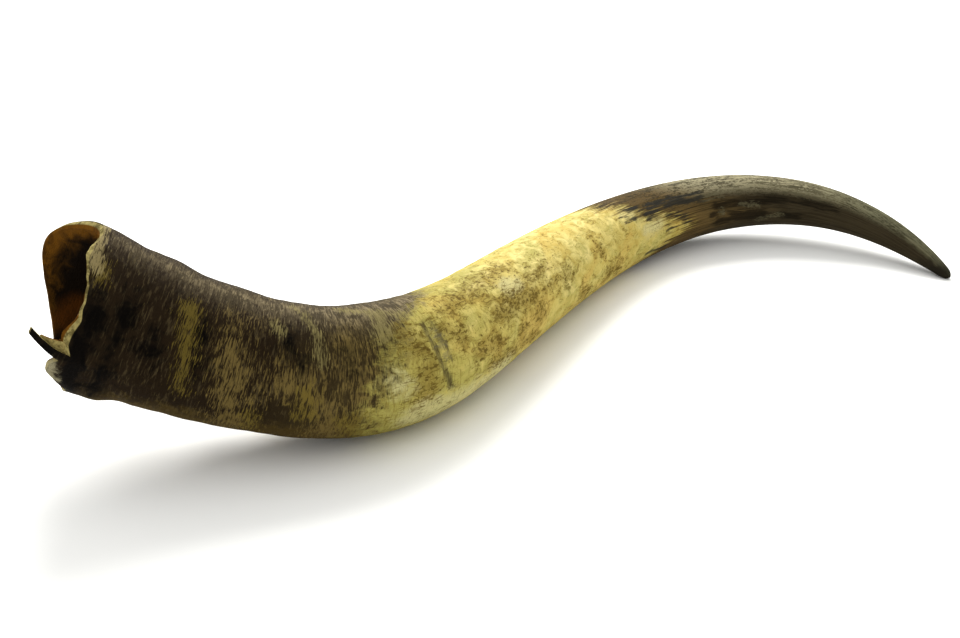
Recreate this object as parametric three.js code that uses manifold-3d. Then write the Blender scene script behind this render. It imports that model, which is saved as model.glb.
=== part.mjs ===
// A watusi horn: one hollow sheath of keratin with a broken, ragged mouth and a solid blunt tip.
// It lies as it rests on a table, on its belly, its middle and its tip. Millimetres, +Z up.
// The horn is shaped straight first and then bent along its axis. On the straight horn, s runs from the
// mouth to the tip, and the angle round it, in degrees, is 0 on the front, 90 on top and 180 on the back.
import * as THREE from "three";
import { NURBSCurve } from "three/addons/curves/NURBSCurve.js";
import { mergeVertices } from "three/addons/utils/BufferGeometryUtils.js";
import Module from "manifold-3d";

// The axis: a cubic curve pulled by these points, from the mouth to the tip.
const AXIS_POINTS = [
  [-323, -176, 109],
  [-280, -170, 87],
  [-202, -171, 54],
  [-105, -146, 43],
  [-36, -29, 44],
  [75, 175, 26],
  [216, 232, 40],
  [315, 172, 30],
  [357, 107, 2.5],
];
const AXIS_DEGREE = 3;
const AXIS_STEPS = 1200;

// Girth: a long taper to a blunt tip, a flare at the mouth and a slight belly.
const TAPER = { radius: 43.2, onset: 1.99, close: 0.677, past: 12 };
const TIP_CAP = 7;
const FLARE = { height: 11.9, length: 74 };
const BELLY = { height: 3.7, s: 215, length: 80 };

// The hollow that the bone core left, with a rounded end.
const HOLLOW = { depth: 600, endRounding: 70, rimWall: 4, deepWall: 7 };

// The broken rim: how far it stands out past the mouth, by angle round it.
const RIM_REACH = [
  [0, 2], [18, 0], [31, -2], [45, 0], [57, 4], [75, 5], [90, 2], [105, 4], [125, 14], [143, 25], [160, 31],
  [175, 30], [190, 24], [207, 15], [232, 3], [265, -6], [297, -12], [312, -12], [322, -4], [332, 4], [342, 4],
  [350, -2],
];
const RIM_FADE = 60;
const RIM_TOOTH = { height: 1.2, spacing: 17, beat: 55 };

// Outer layers flaked off beside the rim.
const FLAKE = { from: 44, to: 92, fade: 5, length: 9, edge: 4, depth: 1.8 };

// Two splinters left standing on the rim: where each starts and ends, and its section.
const SPLINTERS = [
  { start: { s: 10, angle: 337 }, end: { s: -21, angle: 358 }, inset: 1.8, width: 6.5, thickness: 3.2 },
  { start: { s: 8, angle: 344 }, end: { s: -15, angle: 357 }, inset: 3.2, width: 6, thickness: 2.6 },
];
const SPLINTER_TAPER = 0.7;
const SPLINTER_SIDES = 6;

// Low swells of growth round the base.
const SWELL = { height: 0.7, spacing: 46, lean: 0.8, full: 90, gone: 200 };

// A healed scar across the front of the belly: two grooves that lean as they go round.
const SCAR_GROOVES = [
  { s: 235, lean: -0.07, from: -8, to: 62, depth: 1.5, width: 3.6 },
  { s: 242, lean: -0.1, from: 10, to: 50, depth: 0.9, width: 2.6 },
];
const SCAR_MIDDLE = 30;
const SCAR_FADE = 8;

// A ledge along the tip end, climbing round it towards the tip: weathered layers above, a bare recess below.
const LEDGE = { from: 650, to: 800, fade: 16, angle: 28, climb: 0.075 };
const LEDGE_LAYER = { height: 1.9, edge: 3, full: 20, gone: 75 };
const LEDGE_RECESS = { depth: 1.3, full: 6, gone: 34 };

// A pit with a lump in it, below the start of the ledge.
const PIT = { s: 670, angle: 2, radius: 7.5, depth: 3.4 };
const PIT_LUMP = { height: 4.2, radius: 3.2 };

// A crest on top of the last stretch of the tip.
const CREST = { from: 850, to: 900, fade: 8, angle: 49, spread: 9, height: 0.8 };

// Knots on the underside and the back of the base, and broad ones along its top.
const KNOTS = [
  { s: 26, angle: 305, height: 2, radius: 11 },
  { s: 88, angle: 309, height: 1.8, radius: 12 },
  { s: 118, angle: 250, height: 2, radius: 16 },
  { s: 58, angle: 205, height: 2.2, radius: 17 },
  { s: 18, angle: 102, height: 3.6, radius: 30 },
  { s: 68, angle: 108, height: 2.6, radius: 34 },
  { s: 115, angle: 108, height: 1.7, radius: 16 },
];

// All relief dies out over the last stretch before the tip's end.
const TIP_SMOOTH = 30;

// The spots that the horn rests on are worn flat by this much.
const WORN_FLAT = 0.45;

// Rings along the outside: each stretch ends at a place and has its rings, closer where there is relief.
const OUTER_STRETCHES = [
  { to: 45, rings: 8 },
  { to: 224, rings: 12 },
  { to: 254, rings: 10 },
  { to: 630, rings: 17 },
  { to: 706, rings: 15 },
  { to: 845, rings: 11 },
];
const TIP_RINGS = 10;
const HOLLOW_RINGS = 16;
const SIDES = 48;

const COLOUR = 0x9a8650;
const MERGE_DISTANCE = 1e-3;
const FULL_TURN = 360;
const { clamp, degToRad, euclideanModulo, lerp, radToDeg, smoothstep } = THREE.MathUtils;

const axis = makeAxis();
const LENGTH = axis.getLength();

function makeAxis() {
  const points = AXIS_POINTS.map(([x, y, z]) => new THREE.Vector4(x, y, z, 1));
  const spans = points.length - AXIS_DEGREE;
  const knots = [];
  for (let i = -AXIS_DEGREE; i <= spans + AXIS_DEGREE; i++) {
    knots.push(clamp(i / spans, 0, 1));
  }
  const curve = new NURBSCurve(AXIS_DEGREE, knots, points);
  curve.arcLengthDivisions = AXIS_STEPS;
  return curve;
}

// A point of the straight horn, at its place on the bent one. Past the mouth the axis runs on straight.
function bend(s, angle, radius) {
  const along = clamp(s / LENGTH, 0, 1);
  const ahead = axis.getTangentAt(along);
  const away = new THREE.Vector3(0, 0, 1).cross(ahead).normalize();
  const up = ahead.clone().cross(away);
  return axis
    .getPointAt(along)
    .addScaledVector(ahead, s - along * LENGTH)
    .addScaledVector(away, -radius * Math.cos(degToRad(angle)))
    .addScaledVector(up, radius * Math.sin(degToRad(angle)));
}

function hill(offset, width) {
  return Math.exp(-((offset / width) ** 2));
}

// The shorter way round from one angle to another.
function turn(angle, from) {
  return euclideanModulo(angle - from + FULL_TURN / 2, FULL_TURN) - FULL_TURN / 2;
}

// 1 between two places, falling to 0 over the fade at either end.
function between(x, from, to, fade) {
  return smoothstep(x, from - fade, from + fade) * (1 - smoothstep(x, to - fade, to + fade));
}

// The distance over the surface from a spot with its own s and angle.
function distanceFrom(spot, s, angle) {
  return Math.hypot(s - spot.s, degToRad(turn(angle, spot.angle)) * girth(s));
}

// 1 until the last stretch before an end, then falling to 0 as a quarter of an ellipse.
function roundedEnd(s, end, stretch) {
  const into = clamp((s - end + stretch) / stretch, 0, 1);
  return Math.sqrt(1 - into * into);
}

function girth(s) {
  const along = Math.max(s, 0);
  const taper = TAPER.radius * (1 - (along / (LENGTH + TAPER.past)) ** TAPER.onset) ** TAPER.close;
  const flare = FLARE.height * Math.exp(-along / FLARE.length);
  const belly = BELLY.height * hill(along - BELLY.s, BELLY.length);
  return (taper + flare + belly) * roundedEnd(along, LENGTH, TIP_CAP);
}

function hollowRadius(s) {
  const wall = lerp(HOLLOW.rimWall, HOLLOW.deepWall, s / HOLLOW.depth);
  return (girth(s) - wall) * roundedEnd(s, HOLLOW.depth, HOLLOW.endRounding);
}

// How far the rim stands out at an angle, with small teeth where it broke.
function rimReach(angle) {
  const round = euclideanModulo(angle, FULL_TURN);
  const closed = [...RIM_REACH, [FULL_TURN, RIM_REACH[0][1]]];
  const next = closed.findIndex(([at]) => at > round);
  const [from, low] = closed[next - 1];
  const [to, high] = closed[next];
  const tooth = Math.sin((2 * Math.PI * round) / RIM_TOOTH.spacing);
  const beat = Math.sin((2 * Math.PI * round) / RIM_TOOTH.beat);
  return lerp(low, high, smoothstep(round, from, to)) + RIM_TOOTH.height * tooth * beat;
}

function swells(s, angle) {
  const phase = (2 * Math.PI * s) / SWELL.spacing + SWELL.lean * Math.sin(degToRad(angle));
  return SWELL.height * Math.sin(phase) * (1 - smoothstep(s, SWELL.full, SWELL.gone));
}

function knots(s, angle) {
  let height = 0;
  for (const knot of KNOTS) {
    height += knot.height * hill(distanceFrom(knot, s, angle), knot.radius);
  }
  return height;
}

function flake(s, angle) {
  const round = between(turn(angle, 0), FLAKE.from, FLAKE.to, FLAKE.fade);
  return -FLAKE.depth * round * (1 - smoothstep(s, FLAKE.length - FLAKE.edge, FLAKE.length));
}

function scar(s, angle) {
  const round = turn(angle, 0);
  let depth = 0;
  for (const groove of SCAR_GROOVES) {
    const offset = s - groove.s - groove.lean * (round - SCAR_MIDDLE);
    const length = between(round, groove.from, groove.to, SCAR_FADE);
    depth += groove.depth * hill(offset, groove.width) * length;
  }
  return -depth;
}

function ledge(s, angle) {
  const above = turn(angle, LEDGE.angle + LEDGE.climb * (s - LEDGE.from));
  const step = smoothstep(above, -LEDGE_LAYER.edge, LEDGE_LAYER.edge);
  const layer = step * (1 - smoothstep(above, LEDGE_LAYER.full, LEDGE_LAYER.gone));
  const recess = (1 - step) * smoothstep(above, -LEDGE_RECESS.gone, -LEDGE_RECESS.full);
  const along = between(s, LEDGE.from, LEDGE.to, LEDGE.fade);
  return along * (LEDGE_LAYER.height * layer - LEDGE_RECESS.depth * recess);
}

function pit(s, angle) {
  const distance = distanceFrom(PIT, s, angle);
  return PIT_LUMP.height * hill(distance, PIT_LUMP.radius) - PIT.depth * hill(distance, PIT.radius);
}

function crest(s, angle) {
  const along = between(s, CREST.from, CREST.to, CREST.fade);
  return CREST.height * along * hill(turn(angle, CREST.angle), CREST.spread);
}

function relief(s, angle) {
  const forms = [swells, knots, flake, scar, ledge, pit, crest];
  const height = forms.reduce((sum, form) => sum + form(s, angle), 0);
  return height * smoothstep(LENGTH - s, 0, TIP_SMOOTH);
}

// The profile of the straight horn: out of the hollow from its end, over the rim and along the outside.
function makeProfile() {
  const profile = [{ s: HOLLOW.depth, radius: 0, outside: false }];
  for (let i = 1; i <= HOLLOW_RINGS; i++) {
    const s = HOLLOW.depth * (1 - Math.sin((Math.PI / 2) * (i / HOLLOW_RINGS)));
    profile.push({ s, radius: hollowRadius(s), outside: false });
  }
  const { rimWall } = HOLLOW;
  profile.push({ s: -rimWall / 3, radius: girth(0) - rimWall / 2, outside: false });
  profile.push({ s: 0, radius: girth(0), outside: true });
  let from = 0;
  for (const { to, rings } of OUTER_STRETCHES) {
    for (let i = 1; i <= rings; i++) {
      const s = lerp(from, to, i / rings);
      profile.push({ s, radius: girth(s), outside: true });
    }
    from = to;
  }
  for (let i = 1; i < TIP_RINGS; i++) {
    const s = lerp(from, LENGTH, Math.sin((Math.PI / 2) * (i / TIP_RINGS)));
    profile.push({ s, radius: girth(s), outside: true });
  }
  profile.push({ s: LENGTH, radius: 0, outside: true });
  return profile;
}

function makeSheath() {
  const profile = makeProfile();
  const outline = profile.map(({ radius, s }) => new THREE.Vector2(radius, s));
  const sheath = positionsOnly(new THREE.LatheGeometry(outline, SIDES));
  const place = sheath.attributes.position;
  for (let k = 0; k < place.count; k++) {
    const { s, radius, outside } = profile[k % profile.length];
    const angle = radToDeg(Math.atan2(place.getZ(k), place.getX(k)));
    const reach = rimReach(angle) * clamp(1 - s / RIM_FADE, 0, 1);
    const shaped = outside ? radius + relief(s, angle) : radius;
    const point = bend(s - reach, angle, shaped);
    place.setXYZ(k, point.x, point.y, point.z);
  }
  return sheath;
}

function makeSplinter({ start, end, inset, width, thickness }) {
  const foot = bend(start.s, start.angle, girth(start.s) - inset);
  const point = bend(end.s, end.angle, girth(end.s) - inset);
  const outward = bend(start.s, start.angle, girth(start.s)).sub(foot);
  const along = point.clone().sub(foot);
  const across = along.clone().cross(outward).setLength(width);
  const through = across.clone().cross(along).setLength(thickness);
  const stance = new THREE.Matrix4().makeBasis(across, along, through);
  stance.setPosition(foot.lerp(point, 0.5));
  const blade = new THREE.CylinderGeometry(SPLINTER_TAPER / 2, 0.5, 1, SPLINTER_SIDES);
  return positionsOnly(blade).applyMatrix4(stance);
}

function positionsOnly(geometry) {
  geometry.deleteAttribute("normal");
  geometry.deleteAttribute("uv");
  return geometry;
}

function toSolid(wasm, geometry) {
  const merged = mergeVertices(geometry, MERGE_DISTANCE);
  const mesh = new wasm.Mesh({
    numProp: 3,
    vertProperties: merged.attributes.position.array,
    triVerts: new Uint32Array(merged.index.array),
  });
  return new wasm.Manifold(mesh);
}

function toGeometry(solid) {
  const { vertProperties, triVerts } = solid.getMesh();
  const geometry = new THREE.BufferGeometry();
  geometry.setAttribute("position", new THREE.BufferAttribute(new Float32Array(vertProperties), 3));
  geometry.setIndex(new THREE.BufferAttribute(triVerts, 1));
  return geometry;
}

// Wears the lowest spots flat and sets the horn down with its middle over the origin.
function setDown(geometry) {
  const place = geometry.attributes.position;
  geometry.computeBoundingBox();
  const table = geometry.boundingBox.min.z + WORN_FLAT;
  for (let k = 0; k < place.count; k++) {
    place.setZ(k, Math.max(place.getZ(k), table));
  }
  const middle = geometry.boundingBox.getCenter(new THREE.Vector3());
  geometry.translate(-middle.x, -middle.y, -table);
  geometry.computeVertexNormals();
  return geometry;
}

const wasm = await Module();
wasm.setup();

let whole = toSolid(wasm, makeSheath());
for (const splinter of SPLINTERS) {
  whole = whole.add(toSolid(wasm, makeSplinter(splinter)));
}

const horn = new THREE.Mesh(
  setDown(toGeometry(whole)),
  new THREE.MeshStandardMaterial({ color: COLOUR, roughness: 0.6, metalness: 0 }),
);
horn.name = "horn";

const part = new THREE.Group();
part.add(horn);

export default part;
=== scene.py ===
"""Looks of a watusi horn: one hollow sheath of keratin with a broken mouth, lying on a pale floor.

The horn is modelled straight, from its mouth at x = 0 along +X to its tip, with its front towards -Y and
its top towards +Z. It is carved and painted there, then bent along its axis and set down in its place. On
the straight horn, s is the distance from the mouth, and the angle round it is 0 on the front, 90 on top
and 180 on the back.
"""

import logging
import math
from collections.abc import Callable
from dataclasses import dataclass, field
from enum import Enum
from functools import partial
from typing import Protocol

import bmesh
import bpy
import numpy as np
from mathutils import Matrix, Vector, noise

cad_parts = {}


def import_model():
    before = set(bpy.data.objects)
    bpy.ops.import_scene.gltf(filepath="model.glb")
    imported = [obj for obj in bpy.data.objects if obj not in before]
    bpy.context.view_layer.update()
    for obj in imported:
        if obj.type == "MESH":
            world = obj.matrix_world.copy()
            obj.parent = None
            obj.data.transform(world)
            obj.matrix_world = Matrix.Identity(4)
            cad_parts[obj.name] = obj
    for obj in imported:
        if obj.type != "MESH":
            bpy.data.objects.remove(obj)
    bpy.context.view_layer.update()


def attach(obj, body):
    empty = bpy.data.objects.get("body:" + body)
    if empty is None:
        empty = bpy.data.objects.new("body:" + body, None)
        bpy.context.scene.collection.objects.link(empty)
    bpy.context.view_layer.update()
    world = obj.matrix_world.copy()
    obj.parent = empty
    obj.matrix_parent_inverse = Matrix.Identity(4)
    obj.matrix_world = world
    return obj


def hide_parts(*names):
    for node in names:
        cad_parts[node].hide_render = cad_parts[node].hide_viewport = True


MM = 0.001
FULL_TURN = 360.0
GRAIN_RADIUS = 40 * MM
SAME_PLACE = 0.01 * MM
# Keeps a mark of a single spot from dividing by nothing.
NO_LENGTH = 1e-12
# The level that a noise pattern has on average.
NOISE_MIDDLE = 0.5
LOG = logging.getLogger("watusi_horn")

Array = np.ndarray
Socket = bpy.types.NodeSocket
Path = tuple[tuple[float, float], ...]


def hill(offset: Array, width: float) -> Array:
    """A bell of height 1 and the given half width."""
    return np.exp(-((offset / width) ** 2))


def smoothstep(value: Array, low: float, high: float) -> Array:
    """0 below low, 1 above high, and an even curve between them."""
    share = np.clip((value - low) / (high - low), 0.0, 1.0)
    return share * share * (3.0 - 2.0 * share)


def between(value: Array, start: float, end: float, fade: float) -> Array:
    """1 from start to end, falling to 0 over the fade at either end."""
    begun = smoothstep(value, start - fade, start + fade)
    return begun * (1.0 - smoothstep(value, end - fade, end + fade))


def turned(angle: Array, start: float) -> Array:
    """Degrees from one angle to another, the shorter way round."""
    return (angle - start + FULL_TURN / 2) % FULL_TURN - FULL_TURN / 2


def rounded_end(s: Array, end: float, stretch: float) -> Array:
    """1 until the last stretch before an end, then falling to 0 as a quarter of an ellipse."""
    into = np.clip((s - end + stretch) / stretch, 0.0, 1.0)
    return np.sqrt(1.0 - into * into)


def linear_colour(colour: str) -> tuple[float, float, float, float]:
    """Turns an sRGB hex colour to a linear one.

    Args:
        colour: The colour as "#rrggbb".

    Returns:
        Red, green, blue and alpha, linear.
    """
    shares = [int(colour[i : i + 2], 16) / 255 for i in (1, 3, 5)]
    red, green, blue = (c / 12.92 if c <= 0.04045 else ((c + 0.055) / 1.055) ** 2.4 for c in shares)
    return red, green, blue, 1.0


def pick_faces(piece: bpy.types.Object, wanted: Callable[[Vector], bool]) -> None:
    """Selects the faces of a piece in edit mode by their place.

    Args:
        piece: The object in edit mode.
        wanted: Says of a face's middle whether the face is selected.
    """
    bpy.ops.mesh.select_all(action="DESELECT")
    mesh = bmesh.from_edit_mesh(piece.data)
    for face in mesh.faces:
        if wanted(face.calc_center_median()):
            face.select_set(True)
    bmesh.update_edit_mesh(piece.data)


@dataclass(frozen=True)
class Bumps:
    """Noise on the horn: its bumps' size along it and round it, and a seed that moves the pattern."""

    along: float
    around: float
    seed: float


@dataclass(frozen=True)
class Place:
    """Where points of the straight horn lie: along it, round it, and how thick it is there."""

    s: Array
    angle: Array
    girth: Array

    def distance(self, s: float, angle: float) -> Array:
        """The distance over the surface from a spot."""
        return np.hypot(self.s - s, np.radians(turned(self.angle, angle)) * self.girth)

    def unrolled(self, radius: float) -> Array:
        """The points on a straight tube of one radius, so that a pattern on it has no seam."""
        round_it = np.radians(self.angle)
        return np.stack([self.s, -radius * np.cos(round_it), radius * np.sin(round_it)], axis=-1)

    def grain(self, bumps: Bumps) -> Array:
        """Noise from -1 to 1 at each point."""
        points = self.unrolled(GRAIN_RADIUS) / (bumps.along, bumps.around, bumps.around) + bumps.seed
        return np.array([noise.noise(point) for point in points])


@dataclass(frozen=True)
class HornAxis:
    """The line that the horn bends along: a cubic curve pulled by a few points, from the mouth to the tip."""

    points_mm: tuple[tuple[float, float, float], ...] = (
        (-323, -176, 109),
        (-280, -170, 87),
        (-202, -171, 54),
        (-105, -146, 43),
        (-36, -29, 44),
        (75, 175, 26),
        (216, 232, 40),
        (315, 172, 30),
        (357, 107, 2.5),
    )
    order: int = 4
    steps: int = 64

    def build(self) -> bpy.types.Object:
        """Makes the curve, with its frames kept upright.

        Returns:
            The curve object.
        """
        curve = bpy.data.curves.new("horn_axis", "CURVE")
        curve.dimensions = "3D"
        curve.twist_mode = "Z_UP"
        curve.use_deform_bounds = False
        line = curve.splines.new("NURBS")
        line.points.add(len(self.points_mm) - 1)
        for point, place in zip(line.points, self.points_mm):
            point.co = (*(x * MM for x in place), 1.0)
        line.order_u = self.order
        line.use_endpoint_u = True
        line.resolution_u = self.steps
        axis = bpy.data.objects.new("horn_axis", curve)
        bpy.context.scene.collection.objects.link(axis)
        return axis


@dataclass(frozen=True)
class HornOutline:
    """Girth of the straight horn: a taper to a blunt tip, a flared mouth, a slight belly and a hollow."""

    length: float
    radius: float = 43.2 * MM
    taper_onset: float = 1.99
    taper_close: float = 0.677
    taper_past: float = 12 * MM
    tip_cap: float = 7 * MM
    flare: float = 11.9 * MM
    flare_length: float = 74 * MM
    belly: float = 3.7 * MM
    belly_s: float = 215 * MM
    belly_length: float = 80 * MM
    hollow_depth: float = 600 * MM
    hollow_rounding: float = 70 * MM
    rim_wall: float = 4 * MM
    deep_wall: float = 7 * MM

    def girth(self, s: Array) -> Array:
        """Radius of the outside, before any relief.

        Args:
            s: The distance from the mouth.

        Returns:
            The radius there.
        """
        along = np.clip(s, 0.0, self.length)
        share = along / (self.length + self.taper_past)
        taper = self.radius * (1 - share**self.taper_onset) ** self.taper_close
        flare = self.flare * np.exp(-along / self.flare_length)
        belly = self.belly * hill(along - self.belly_s, self.belly_length)
        return (taper + flare + belly) * rounded_end(along, self.length, self.tip_cap)

    def hollow(self, s: Array) -> Array:
        """Radius of the hollow that the bone core left.

        Args:
            s: The distance from the mouth.

        Returns:
            The radius there, 0 past the hollow's end.
        """
        into = np.clip(s / self.hollow_depth, 0.0, 1.0)
        wall = self.rim_wall + (self.deep_wall - self.rim_wall) * into
        room = np.maximum(self.girth(s) - wall, 0.0)
        return room * rounded_end(s, self.hollow_depth, self.hollow_rounding)


class Form(Protocol):
    """A shape carved into the plain outline, or raised over it."""

    def relief(self, place: Place) -> Array:
        """Height over the plain outline."""


@dataclass(frozen=True)
class Swells:
    """Low swells of growth round the base."""

    height: float = 0.7 * MM
    spacing: float = 46 * MM
    lean: float = 0.8
    full: float = 90 * MM
    gone: float = 200 * MM

    def relief(self, place: Place) -> Array:
        """Height over the plain outline."""
        phase = 2 * np.pi * place.s / self.spacing + self.lean * np.sin(np.radians(place.angle))
        return self.height * np.sin(phase) * (1 - smoothstep(place.s, self.full, self.gone))


@dataclass(frozen=True)
class Knot:
    """A rounded lump."""

    s: float
    angle: float
    height: float
    radius: float

    def relief(self, place: Place) -> Array:
        """Height over the plain outline."""
        return self.height * hill(place.distance(self.s, self.angle), self.radius)


@dataclass(frozen=True)
class Flake:
    """Outer layers flaked off beside the rim."""

    start: float = 44
    end: float = 92
    fade: float = 5
    length: float = 9 * MM
    edge: float = 3 * MM
    depth: float = 1.8 * MM
    ragged: float = 4 * MM
    edge_bumps: Bumps = Bumps(60 * MM, 6 * MM, 3.0)

    def relief(self, place: Place) -> Array:
        """Height over the plain outline.

        Args:
            place: Where the points lie.

        Returns:
            The height, below 0 where the outer layers are gone.
        """
        round_it = between(turned(place.angle, 0), self.start, self.end, self.fade)
        edge = self.length + self.ragged * place.grain(self.edge_bumps)
        return -self.depth * (round_it * (1 - smoothstep(place.s - edge, -self.edge, 0.0)))


@dataclass(frozen=True)
class Groove:
    """A groove of a healed scar across the front of the belly, leaning as it goes round."""

    s: float
    lean: float
    start: float
    end: float
    depth: float
    width: float
    middle: float = 30
    fade: float = 8

    def relief(self, place: Place) -> Array:
        """Height over the plain outline.

        Args:
            place: Where the points lie.

        Returns:
            The height, below 0 in the groove.
        """
        round_it = turned(place.angle, 0)
        offset = place.s - self.s - self.lean * (round_it - self.middle)
        return -self.depth * hill(offset, self.width) * between(round_it, self.start, self.end, self.fade)


@dataclass(frozen=True)
class Ledge:
    """A ledge along the tip end, climbing round it: weathered layers above it and a bare recess below."""

    start: float = 650 * MM
    end: float = 800 * MM
    fade: float = 16 * MM
    angle: float = 28
    climb_per_mm: float = 0.075
    layer_height: float = 1.9 * MM
    layer_full: float = 20
    layer_gone: float = 75
    edge: float = 3
    edge_ragged: float = 5
    edge_bumps: Bumps = Bumps(12 * MM, 30 * MM, 7.0)
    recess_depth: float = 1.3 * MM
    recess_full: float = 6
    recess_gone: float = 34
    flaking: float = 0.55 * MM
    flake_bumps: Bumps = Bumps(16 * MM, 7 * MM, 11.0)

    def above(self, place: Place) -> Array:
        """Degrees above the ledge's line."""
        line = self.angle + self.climb_per_mm * (place.s - self.start) / MM
        return turned(place.angle, 0) - line + self.edge_ragged * place.grain(self.edge_bumps)

    def relief(self, place: Place) -> Array:
        """Height over the plain outline.

        Args:
            place: Where the points lie.

        Returns:
            The height, above 0 on the layers and below 0 in the recess.
        """
        above = self.above(place)
        step = smoothstep(above, -self.edge, self.edge)
        layer = step * (1 - smoothstep(above, self.layer_full, self.layer_gone))
        recess = (1 - step) * smoothstep(above, -self.recess_gone, -self.recess_full)
        flakes = self.flaking * layer * place.grain(self.flake_bumps)
        along = between(place.s, self.start, self.end, self.fade)
        return along * (self.layer_height * layer - self.recess_depth * recess + flakes)


@dataclass(frozen=True)
class Pit:
    """A pit with a lump in it, below the start of the ledge."""

    s: float = 670 * MM
    angle: float = 2
    radius: float = 7.5 * MM
    depth: float = 3.4 * MM
    lump_height: float = 4.2 * MM
    lump_radius: float = 3.2 * MM

    def relief(self, place: Place) -> Array:
        """Height over the plain outline."""
        distance = place.distance(self.s, self.angle)
        return self.lump_height * hill(distance, self.lump_radius) - self.depth * hill(distance, self.radius)


@dataclass(frozen=True)
class Crest:
    """A crest on top of the last stretch of the tip."""

    start: float = 850 * MM
    end: float = 900 * MM
    fade: float = 8 * MM
    angle: float = 49
    spread: float = 9
    height: float = 0.8 * MM

    def relief(self, place: Place) -> Array:
        """Height over the plain outline."""
        along = between(place.s, self.start, self.end, self.fade)
        return self.height * along * hill(turned(place.angle, self.angle), self.spread)


@dataclass(frozen=True)
class Weathering:
    """Fine relief of a kind over a stretch of the horn, from its growth and its wear."""

    bumps: Bumps
    height: float
    start: float
    end: float
    fade: float

    def relief(self, place: Place) -> Array:
        """Height over the plain outline."""
        stretch = between(place.s, self.start, self.end, self.fade)
        return self.height * stretch * place.grain(self.bumps)


@dataclass(frozen=True)
class RimBreak:
    """The broken rim: how far it stands out past the mouth, by angle, with teeth and stepped layers."""

    reach_mm: Path = (
        (0, 3), (8, 4), (18, 0), (31, -2), (45, 0), (57, 4), (75, 5), (90, 2), (105, 4), (125, 14), (143, 25),
        (160, 31), (175, 30), (190, 24), (207, 15), (232, 3), (265, -6), (297, -12), (312, -12), (322, -4),
        (332, 4), (342, 4), (350, -1), (360, 3),
    )
    fade: float = 60 * MM
    crown: float = 1.3 * MM
    teeth: tuple[tuple[float, float], ...] = ((1.2 * MM, 3.4), (0.8 * MM, 9.0))
    # The wall breaks in layers, each with teeth of its own, which are even at its inside.
    layers: int = 3
    layer_step: float = 1.5 * MM
    layer_teeth: float = 6.0
    layer_seed: float = 20.0
    layer_seed_step: float = 5.0
    layer_even: float = 0.15
    # The break slopes outwards, most of all low in front, between these angles.
    slope: float = 0.9 * MM
    low_slope: float = 5.5 * MM
    low_start: float = -14
    low_end: float = 20
    low_fade: float = 8
    # The teeth are all there on the near side, between angles from its middle, and worn on the far side.
    near_angle: float = 40
    near_start: float = -70
    near_end: float = 62
    near_fade: float = 15
    far_teeth: float = 0.12

    def reach(self, angle: Array) -> Array:
        """How far the rim stands out: an even curve through its reaches, with teeth.

        Args:
            angle: The angle round the horn.

        Returns:
            The reach there, past the plain mouth.
        """
        angles, reaches = np.array(self.reach_mm).T
        round_it = angle % FULL_TURN
        slopes = np.gradient(reaches, angles)
        after = np.clip(np.searchsorted(angles, round_it, side="right"), 1, len(angles) - 1)
        before = after - 1
        gap = angles[after] - angles[before]
        into = (round_it - angles[before]) / gap
        plain = reaches[before] + (reaches[after] - reaches[before]) * smoothstep(into, 0.0, 1.0)
        plain += gap * into * (1 - into) * (slopes[before] * (1 - into) - slopes[after] * into)
        teeth = sum(height * self.jagged(angle, pitch, pitch) for height, pitch in self.teeth)
        return plain * MM + self.kept(angle) * teeth

    def kept(self, angle: Array) -> Array:
        """Share of the teeth that is left: all of it on the near side, little on the far side."""
        near = between(turned(angle, self.near_angle), self.near_start, self.near_end, self.near_fade)
        return self.far_teeth + (1 - self.far_teeth) * near

    def set_back(self, angle: Array, across: Array) -> Array:
        """How far each layer of the wall broke off behind the innermost one.

        Args:
            angle: The angle round the horn.
            across: How far across the wall a point lies, from 0 inside to 1 outside.

        Returns:
            How far the rim is set back there.
        """
        layer = np.minimum(np.floor(across * self.layers), self.layers - 1)
        seed = self.layer_seed + self.layer_seed_step * layer
        steps = self.layer_step * self.jagged(angle, self.layer_teeth, seed)
        low = between(turned(angle, 0), self.low_start, self.low_end, self.low_fade)
        slope = self.slope + self.low_slope * low
        return slope * across + self.kept(angle) * steps * smoothstep(across, 0.0, self.layer_even)

    @staticmethod
    def jagged(angle: Array, pitch: float, seed: Array | float) -> Array:
        """Noise from -1 to 1 round the rim.

        Args:
            angle: The angle round the horn.
            pitch: The number of teeth in each radian.
            seed: Moves the pattern, so that two of them differ.

        Returns:
            The noise at each point.
        """
        round_it = np.radians(angle)
        seeds = np.broadcast_to(seed, angle.shape)
        points = np.stack([pitch * np.cos(round_it), pitch * np.sin(round_it), seeds], axis=-1)
        return np.array([noise.noise(point) for point in points])


@dataclass(frozen=True)
class Splinter:
    """A strip of one layer of the wall left standing on the rim, bowed downwards."""

    angle: float
    inner: bool
    end_s: float
    end_angle: float
    lift: float
    root: float
    taper: float
    bow: float
    steps: int = 6

    def path(self, start: Vector, end: Vector) -> list[Vector]:
        """The places of its steps, from its root to its end."""
        turns = [step / self.steps for step in range(self.steps + 1)]
        return [start.lerp(end, turn) - Vector((0, 0, 4 * self.bow * turn * (1 - turn))) for turn in turns]


class Stain(Enum):
    """The layers painted on the horn, each an attribute of its mesh: millimetres inside the layer's edge."""

    CREAM = "cream"
    TIP = "tip"
    END = "end"
    SOOT = "soot"
    OLIVE = "olive"
    OCHRE = "ochre"
    PALE = "pale"
    FLECK = "fleck"
    LIP = "lip"
    PEELED = "peeled"
    BROWN = "brown"
    SCAR = "scar"
    # Bleached patches, and painted bounce light from the floor low on the belly.
    BLEACHED = "bleached_and_bounce_light"
    BRUISE = "bruise"
    # Bare dark layers, with painted shade under the ledge and a painted shadow under the pit's lump.
    BARE = "bare"
    GLOW = "glow"


# Other attributes: how far across the wall a point lies, its millimetres from the rim, its degrees above the
# horn's middle, and its place on a straight tube.
ACROSS = "across"
FROM_RIM = "from_rim"
RAISED = "raised"
GRAIN = "grain"
PAINT_LIMIT_MM = 300.0


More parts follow.
